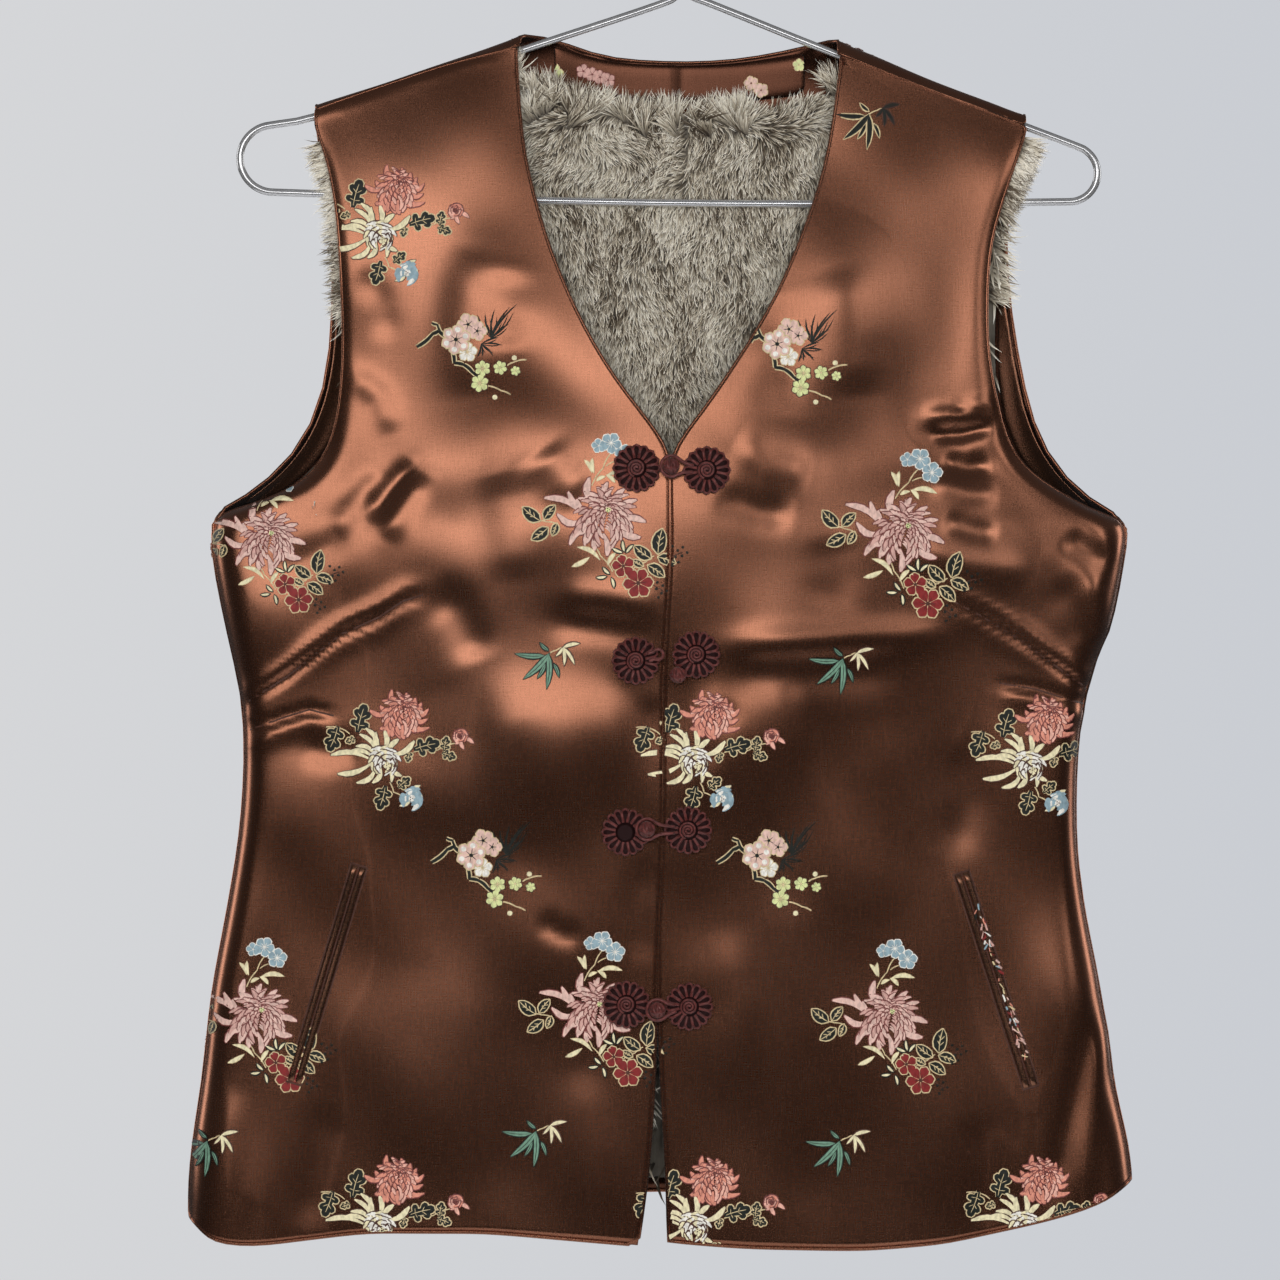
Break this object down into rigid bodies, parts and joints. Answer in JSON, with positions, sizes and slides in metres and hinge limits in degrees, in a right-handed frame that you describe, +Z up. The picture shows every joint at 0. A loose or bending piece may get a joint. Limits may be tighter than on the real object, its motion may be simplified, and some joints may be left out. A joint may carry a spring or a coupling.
{
  "type": "brocade waistcoat on wire hanger",
  "caption": "Sleeveless V-neck satin brocade waistcoat with a fur lining, flower frogs and slanted welt pockets, hanging open at the hem on a wire hanger.",
  "frame": {"origin": "under the top of the hanger's hook, where a rail carries it", "axes": "+Z up, -Y towards the viewer of the waistcoat's front, +X to that viewer's right"},
  "size_m": [0.4622, 0.0653, 0.682],
  "materials": {
    "satin": "copper-brown satin weave with a woven flower repeat, soft sheen",
    "facing": "the same satin as narrow welts and facings, stitched along the edge",
    "fur": "long grey-beige fur with cream tips and dark brown parts",
    "frog": "dark maroon satin cord, coiled and looped",
    "chrome": "polished wire"
  },
  "bodies": {
    "root": {"front_left": "satin", "front_right": "satin", "back": "satin", "fur_front_left": "fur", "fur_front_right": "fur", "fur_back": "fur", "neck_facing": "facing", "armhole_facing_left": "facing", "armhole_facing_right": "facing", "welt_left_outer": "facing", "welt_left_inner": "facing", "welt_right_outer": "facing", "welt_right_inner": "facing", "flower_left_1": "frog", "flower_left_2": "frog", "flower_left_3": "frog", "flower_left_4": "frog", "flower_right_1": "frog", "flower_right_2": "frog", "flower_right_3": "frog", "flower_right_4": "frog", "knot_1": "frog", "knot_2": "frog", "knot_3": "frog", "knot_4": "frog", "loop_1": "frog", "loop_2": "frog", "loop_3": "frog", "loop_4": "frog", "hanger_hook": "chrome", "hanger_arm_right": "chrome", "hanger_end_right": "chrome", "hanger_bar": "chrome", "hanger_end_left": "chrome", "hanger_arm_left": "chrome", "hanger_twist": "chrome"}
  },
  "joints": []
}
